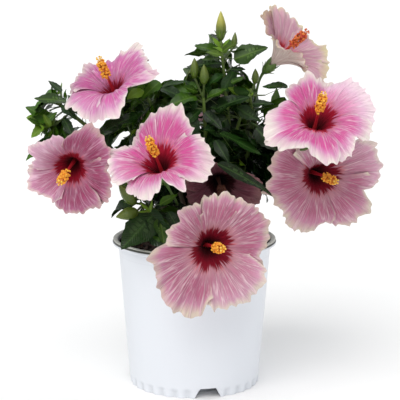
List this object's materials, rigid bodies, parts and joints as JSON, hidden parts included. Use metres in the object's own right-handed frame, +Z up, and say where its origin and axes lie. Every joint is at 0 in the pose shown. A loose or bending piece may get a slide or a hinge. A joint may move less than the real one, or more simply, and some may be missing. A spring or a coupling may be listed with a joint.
{
  "type": "potted hibiscus shrub",
  "caption": "Bushy flowering hibiscus with large five-petalled blooms, glossy toothed leaves and fat buds, standing in a tall tapered nursery pot with a fluted foot.",
  "frame": {"origin": "centre of the pot's flat underside, on the surface the pot stands on", "axes": "+Z up along the pot's axis, -Y towards the front of the shrub, +X to the right seen from the front"},
  "size_m": [0.4859, 0.4052, 0.5295],
  "materials": {
    "pot": "satin",
    "soil": "matte",
    "bark": "matte",
    "foliage": "satin",
    "bloom": "matte"
  },
  "bodies": {
    "root": {"pot": "pot", "soil": "soil", "trunk": "bark", "bough_spire": "bark", "bough_budded": "bark", "bough_centre": "bark", "bough_right_upper": "bark", "bough_right_inner": "bark", "bough_right": "bark", "bough_upper_left": "bark", "bough_left": "bark", "bough_lower_left": "bark", "bough_front": "bark", "bough_back_left": "bark", "bough_back_top": "bark", "bough_back_right": "bark", "bough_back_low": "bark", "bloom_upper_left": "bloom", "bloom_left": "bloom", "bloom_middle": "bloom", "bloom_front": "bloom", "bloom_top": "bloom", "bloom_right_high": "bloom", "bloom_right_low": "bloom", "bloom_shaded": "bloom", "bloom_back_left": "bloom", "bloom_back_right": "bloom", "bloom_back_middle": "bloom", "foliage_spire": "foliage", "foliage_budded": "foliage", "foliage_centre": "foliage", "foliage_right_inner": "foliage", "foliage_right_upper": "foliage", "foliage_upper_left": "foliage", "foliage_left": "foliage", "foliage_lower_left": "foliage", "foliage_back_left": "foliage", "foliage_back_top": "foliage", "foliage_back_right": "foliage", "foliage_back_low": "foliage"}
  },
  "joints": []
}
